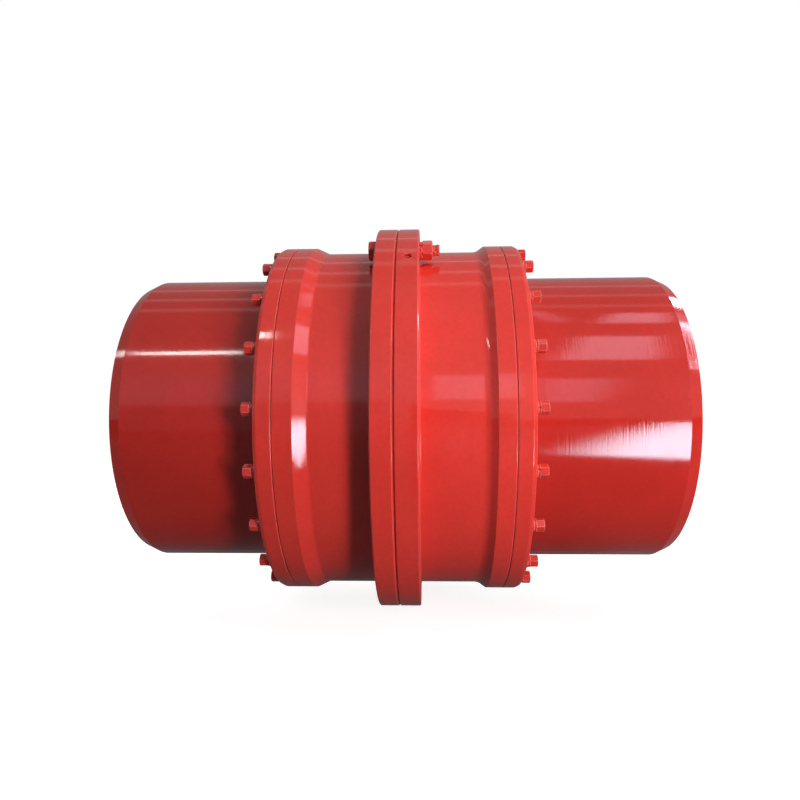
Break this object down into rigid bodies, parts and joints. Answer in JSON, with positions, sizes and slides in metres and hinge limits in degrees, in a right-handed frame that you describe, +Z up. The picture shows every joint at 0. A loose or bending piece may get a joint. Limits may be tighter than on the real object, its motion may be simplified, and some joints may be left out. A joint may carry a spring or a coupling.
{
  "type": "gear coupling",
  "caption": "Red enamelled gear coupling: two toothed hubs in flanged sleeves bolted together, with bolted end covers, to join two shafts that are slightly out of line.",
  "frame": {"origin": "on the coupling's axis, half way between the two hub end faces", "axes": "+X along the axis from the left hub to the right hub, +Z up"},
  "size_m": [0.9514, 0.72, 0.72],
  "materials": {
    "red_enamel": "glossy red enamel over machined steel",
    "red_fasteners": "red enamel over steel fasteners",
    "fibre_gasket": "matte oil-proof fibre sheet",
    "black_rubber": "matte nitrile rubber"
  },
  "bodies": {
    "left_hub": {"left_hub": "red_enamel"},
    "left_seal": {"left_hub_seal": "black_rubber"},
    "sleeve_assembly": {"left_sleeve": "red_enamel", "right_sleeve": "red_enamel", "left_end_cover": "red_enamel", "right_end_cover": "red_enamel", "left_cover_gasket": "fibre_gasket", "right_cover_gasket": "fibre_gasket", "left_cover_bolts": "red_fasteners", "right_cover_bolts": "red_fasteners", "left_spring_washers": "red_fasteners", "right_spring_washers": "red_fasteners", "left_flat_washers": "red_fasteners", "right_flat_washers": "red_fasteners", "flange_gasket": "fibre_gasket", "flange_bolts": "red_fasteners", "flange_nuts": "red_fasteners", "flange_spring_washers": "red_fasteners", "oil_plugs": "red_fasteners"},
    "right_seal": {"right_hub_seal": "black_rubber"},
    "right_hub": {"right_hub": "red_enamel"}
  },
  "joints": [
    {"name": "left_float", "type": "slide", "parent": "left_hub", "child": "left_seal", "axis": [1, 0, 0], "range_m": [-0.004, 0.004]},
    {"name": "left_tilt", "type": "hinge", "parent": "left_seal", "child": "sleeve_assembly", "pos_m": [-0.12325, 0, 0], "axis": [0, 0, 1], "range_deg": [-1.5, 1.5], "deforming": ["left_hub_seal"]},
    {"name": "right_tilt", "type": "hinge", "parent": "sleeve_assembly", "child": "right_seal", "pos_m": [0.10675, 0, 0], "axis": [0, 0, 1], "range_deg": [-1.5, 1.5], "deforming": ["right_hub_seal"]},
    {"name": "right_float", "type": "slide", "parent": "right_seal", "child": "right_hub", "axis": [1, 0, 0], "range_m": [-0.004, 0.004]}
  ]
}
